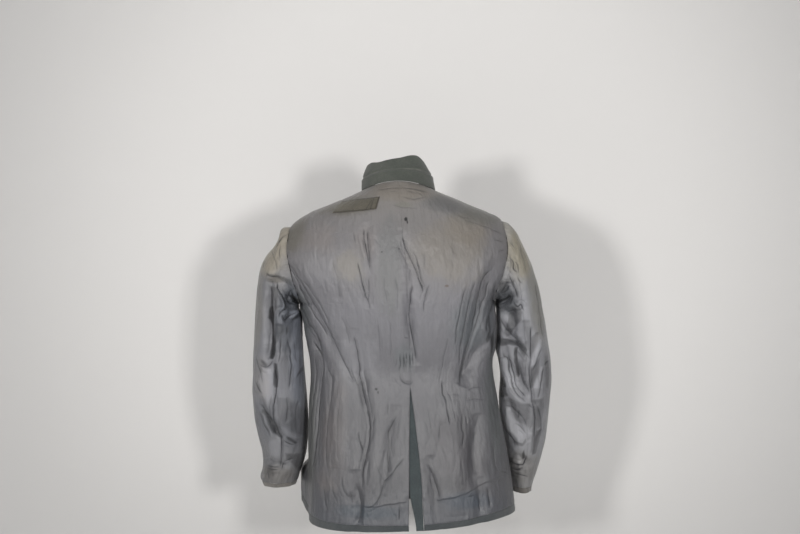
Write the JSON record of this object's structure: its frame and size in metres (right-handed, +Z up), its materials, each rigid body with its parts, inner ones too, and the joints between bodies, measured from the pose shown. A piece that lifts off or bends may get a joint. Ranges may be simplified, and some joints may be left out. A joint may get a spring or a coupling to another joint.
{
  "type": "tunic",
  "caption": "Hip-length wool tunic worn inside out, grey lining outermost, with a turned-up stand collar, buttoned front, two-piece sleeves and a back vent.",
  "frame": {"origin": "middle of the neck opening, level with the top of the shoulder seams, where the wearer's shoulders hold the tunic", "axes": "+Z up, the wearer faces +Y and the tunic's back faces -Y, +X towards the wearer's right hand"},
  "size_m": [0.6355, 0.2772, 0.7664],
  "materials": {
    "lining": "soft sheen",
    "field_wool": "matte napped",
    "patch_cloth": "matte",
    "button_metal": "dull"
  },
  "bodies": {
    "root": {"back_left": "lining", "back_right": "lining", "front_left": "lining", "front_right": "lining", "sleeve_upper_left": "lining", "sleeve_under_left": "lining", "sleeve_upper_right": "lining", "sleeve_under_right": "lining", "collar_stand": "field_wool", "collar_fall": "field_wool", "vent_underlap": "field_wool", "hem_back_left": "field_wool", "hem_back_right": "field_wool", "hem_front_left": "field_wool", "hem_front_right": "field_wool", "cuff_left": "field_wool", "cuff_right": "field_wool", "neck_patch": "patch_cloth", "button_1": "button_metal", "button_2": "button_metal", "button_3": "button_metal", "button_4": "button_metal", "button_5": "button_metal"}
  },
  "joints": []
}
